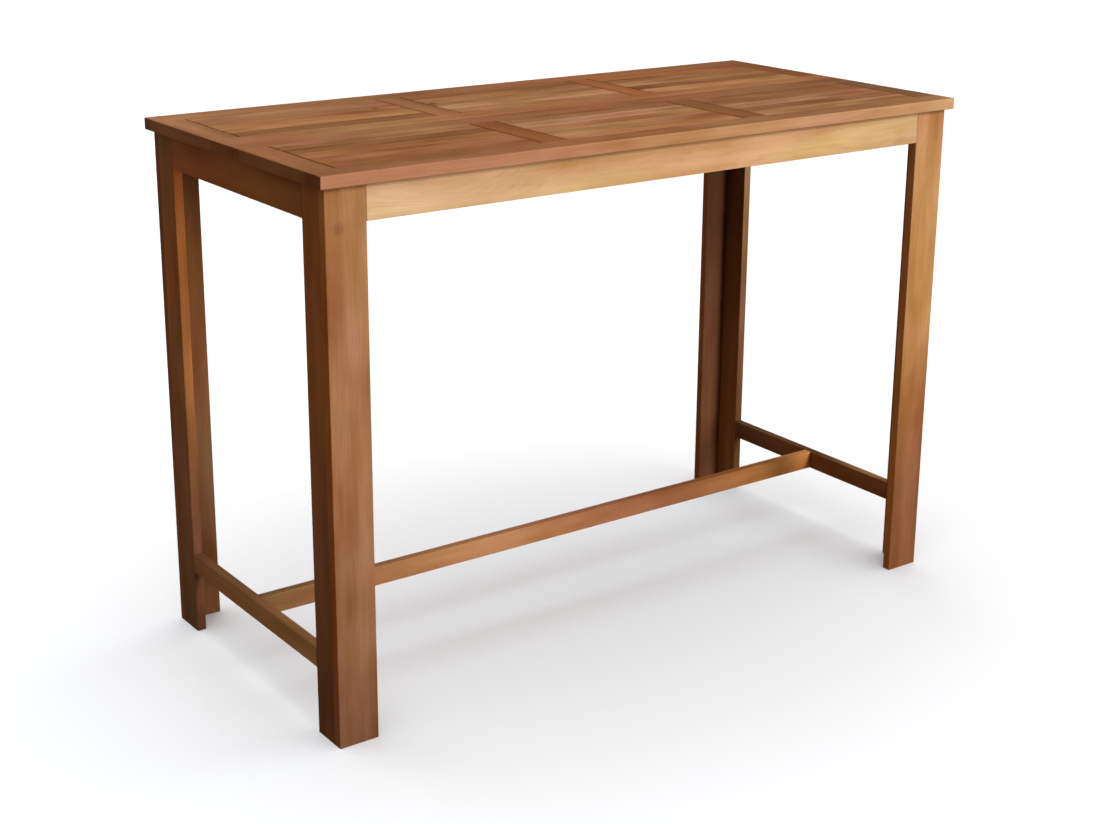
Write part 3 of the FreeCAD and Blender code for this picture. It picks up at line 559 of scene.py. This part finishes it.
def board_material(node, shades, seed):
    """Wood for a single board: its shade drifts along its length, on the legs with painted shade towards the
    feet, and some of its faces carry painted light and shade.
    """
    material, tree, shader = new_material(node + "_wood")
    low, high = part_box(node)
    middle, half = (low + high) / 2, (high - low) / 2
    grain = longest_axis(low, high)
    long_axis = AXES[grain][0]
    offset = tree.vector("SUBTRACT", tree.coordinates("Object"), tuple(middle))
    share = tree.math("MULTIPLY_ADD", tree.split(offset)[long_axis], 0.5 / half[long_axis], 0.5)
    shade = tree.ramp(share, shades)
    facing = tree.split(tree.coordinates("Normal"))
    # Faces with painted light and shade take their own shades here.
    for axis, way, faces in PAINTED_SHADING_TABLES:
        if node in faces:
            chosen = tree.step(tree.math("MULTIPLY", facing[axis], way), *PAINTED_FACE_FACING)
            shade = tree.mix(chosen, shade, tree.ramp(share, faces[node]))
    figure = FIGURES.get(node, BOARD_FIGURE)
    finish_wood(tree, shader, node, offset, tuple(half), grain, shade, seed, figure)
    return material


def slat_material(node, shades, seed):
    """Wood for five slats side by side: each has its own shade and its own grain."""
    material, tree, shader = new_material(node + "_wood")
    low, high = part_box(node)
    middle, half = (low + high) / 2, (high - low) / 2
    pitch = (high.y - low.y) / SLAT_COUNT
    x, y, z = tree.split(tree.coordinates("Object"))
    count = tree.math("MULTIPLY_ADD", y, 1 / pitch, -low.y / pitch)
    index = tree.math("FLOOR", count)
    across = tree.math("MULTIPLY", tree.math("SUBTRACT", tree.math("FRACT", count), 0.5), pitch)
    along = tree.math("SUBTRACT", x, middle.x)
    through = tree.math("SUBTRACT", z, middle.z)
    offset = tree.join(along, across, through)
    share = tree.math("MULTIPLY_ADD", index, 1 / SLAT_COUNT, 0.5 / SLAT_COUNT)
    shade = tree.ramp(share, shades, constant=True)
    own_seed = tree.math("ADD", index, seed)
    finish_wood(tree, shader, node, offset, (half.x, pitch / 2, half.z), "X", shade, own_seed, SLAT_FIGURE)
    return material


def round_wood_material(node):
    """Pale turned wood, for dowels."""
    material, tree, shader = new_material(node + "_wood")
    streak = tree.noise(tree.coordinates("Object"), DOWEL_STREAK, detail=FINE_OCTAVES)
    finish = {
        "Base Color": tree.mix(streak, linear(SHADES["cream"]), linear(SHADES["honey"])),
        "Roughness": tree.math("MULTIPLY_ADD", streak, DOWEL_ROUGHNESS_SPREAD, DOWEL_ROUGHNESS),
        "Normal": tree.bump(streak, BUMP_STRENGTH),
    }
    tree.fill_all(shader, finish)
    return material


def steel_material():
    """Zinc-plated steel with fine marks, for screws."""
    material, tree, shader = new_material("screw_steel")
    place = tree.coordinates("Object")
    marks = tree.noise(place, STEEL_MARKS, detail=FINE_OCTAVES)
    cloud = tree.noise(place, STEEL_CLOUD, detail=1.0)
    finish = {
        "Base Color": tree.mix(cloud, STEEL_BRIGHT, STEEL_DULL),
        "Roughness": tree.math("MULTIPLY_ADD", marks, STEEL_ROUGHNESS_SPREAD, STEEL_ROUGHNESS),
        "Normal": tree.bump(marks, STEEL_BUMP_STRENGTH),
        "Metallic": 1.0,
    }
    tree.fill_all(shader, finish)
    return material


def give(node, material):
    """Puts one material on a CAD node."""
    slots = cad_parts[node].data.materials
    slots.clear()
    slots.append(material)


def dress_table():
    """Gives every node of the table its material."""
    boards = BOARD_SHADES | {name: HIDDEN_SHADES for name in HIDDEN_BOARDS}
    for number, (node, shades) in enumerate(boards.items()):
        give(node, board_material(node, shades, BOARD_SEED + BOARD_SEED_STEP * number))
    for number, (node, shades) in enumerate(SLAT_SHADES.items()):
        give(node, slat_material(node, shades, SLAT_SEED + SLAT_PANEL_SEED_STEP * number))
    for node in DOWEL_NODES:
        give(node, round_wood_material(node))
    steel = steel_material()
    for node in SCREW_NODES:
        give(node, steel)


def direction(azimuth, elevation):
    """The unit vector from the middle towards a place at that azimuth and elevation, in degrees."""
    turn, rise = math.radians(azimuth), math.radians(elevation)
    return Vector((math.sin(turn) * math.cos(rise), -math.cos(turn) * math.cos(rise), math.sin(rise)))


def make_camera():
    """The photograph's camera."""
    data = bpy.data.cameras.new("camera")
    camera = bpy.data.objects.new("camera", data)
    bpy.context.scene.collection.objects.link(camera)
    data.sensor_width = SENSOR_WIDTH_MILLIMETRES
    data.lens = SENSOR_WIDTH_MILLIMETRES * FOCAL_PIXELS / PHOTO_WIDTH_PIXELS
    data.shift_y = CAMERA_SHIFT
    back = direction(CAMERA_AZIMUTH, CAMERA_ELEVATION)
    turn = (-back).to_track_quat("-Z", "Y").to_matrix().to_4x4()
    roll = Matrix.Rotation(math.radians(CAMERA_ROLL), 4, "Z")
    camera.matrix_world = Matrix.Translation(CAMERA_PLACE) @ turn @ roll
    bpy.context.scene.camera = camera


def make_sun(name, azimuth, elevation, strength, softness, lit, shadow=True, gloss=True):
    """A soft far light on some objects. A strength of 1 lights a surface that faces it to its own colour."""
    data = bpy.data.lights.new(name, "SUN")
    data.energy = strength * math.pi
    data.angle = math.radians(softness)
    data.use_shadow = shadow
    sun = bpy.data.objects.new(name, data)
    bpy.context.scene.collection.objects.link(sun)
    sun.visible_glossy = gloss
    sun.rotation_mode = "QUATERNION"
    sun.rotation_quaternion = (-direction(azimuth, elevation)).to_track_quat("-Z", "Y")
    receivers = bpy.data.collections.new(name + "_receivers")
    for thing in lit:
        receivers.objects.link(thing)
    sun.light_linking.receiver_collection = receivers


def make_sky():
    """A dim warm sky, brighter above and at the right."""
    world = bpy.data.worlds.new("studio")
    world.use_nodes = True
    tree = Tree(world.node_tree)
    sky = world.node_tree.nodes["Background"]
    towards = {0: tree.coordinates("Generated"), 1: tuple(SKY_BRIGHT_SIDE)}
    facing = tree.node("VectorMath", towards, operation="DOT_PRODUCT").outputs["Value"]
    strength = tree.step(facing, *SKY_BLEND_RANGE, SKY_DIM, SKY_BRIGHT)
    tree.fill_all(sky, {"Color": SKY_COLOUR, "Strength": strength})
    bpy.context.scene.world = world
    bpy.context.scene.view_settings.view_transform = "Standard"


def stage_piece(name, mesh):
    """Puts a mesh of the studio in the scene. It throws no light or reflection onto the table."""
    piece = bpy.data.objects.new(name, mesh)
    bpy.context.scene.collection.objects.link(piece)
    piece.visible_diffuse = False
    piece.visible_glossy = False
    piece.visible_shadow = False
    return piece


def make_floor():
    """A wide round floor under the table."""
    mesh = bpy.data.meshes.new("floor")
    level = CAD_BOX[0].z - FLOOR_DROP
    points = []
    for side in range(FLOOR_SIDES):
        turn = 2 * math.pi * side / FLOOR_SIDES
        points.append((FLOOR_RADIUS * math.cos(turn), FLOOR_RADIUS * math.sin(turn), level))
    mesh.from_pydata(points, [], [list(range(FLOOR_SIDES))])
    material, tree, shader = new_material("floor_paper")
    cloud = tree.noise(tree.coordinates("Object"), FLOOR_CLOUD)
    finish = {
        "Base Color": tree.mix(cloud, FLOOR_COLOUR, FLOOR_CLOUD_COLOUR),
        "Roughness": FLOOR_ROUGHNESS,
        "Specular IOR Level": 0.0,
    }
    tree.fill_all(shader, finish)
    mesh.materials.append(material)
    return stage_piece("floor", mesh)


def make_backdrop():
    """A plain pale backdrop all round."""
    shape = bmesh.new()
    bmesh.ops.create_icosphere(shape, subdivisions=BACKDROP_SUBDIVISIONS, radius=BACKDROP_RADIUS)
    mesh = bpy.data.meshes.new("backdrop")
    shape.to_mesh(mesh)
    shape.free()
    material, tree, shader = new_material("backdrop_paper")
    finish = {
        "Base Color": BLACK,
        "Specular IOR Level": 0.0,
        "Emission Color": BACKDROP_COLOUR,
        "Emission Strength": 1.0,
    }
    tree.fill_all(shader, finish)
    mesh.materials.append(material)
    stage_piece("backdrop", mesh)


def light_scene(floor):
    """Three lights from the sides light the table alone, and two from above light the floor alone."""
    table = list(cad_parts.values())
    make_sun("key", KEY_AZIMUTH, KEY_ELEVATION, KEY_STRENGTH, KEY_SOFTNESS, table)
    make_sun("low_light", LOW_AZIMUTH, LOW_ELEVATION, LOW_STRENGTH, LOW_SOFTNESS, table)
    make_sun("back_light", BACK_AZIMUTH, BACK_ELEVATION, BACK_STRENGTH, BACK_SOFTNESS, table, gloss=False)
    make_sun("floor_light", 0.0, OVERHEAD, FLOOR_LIGHT, FLOOR_LIGHT_SOFTNESS, [floor])
    make_sun("floor_fill", 0.0, OVERHEAD, FLOOR_FILL, FLOOR_LIGHT_SOFTNESS, [floor], shadow=False)
    make_sky()


WOOD = make_grain_group()
make_camera()
dress_table()
make_backdrop()
light_scene(make_floor())
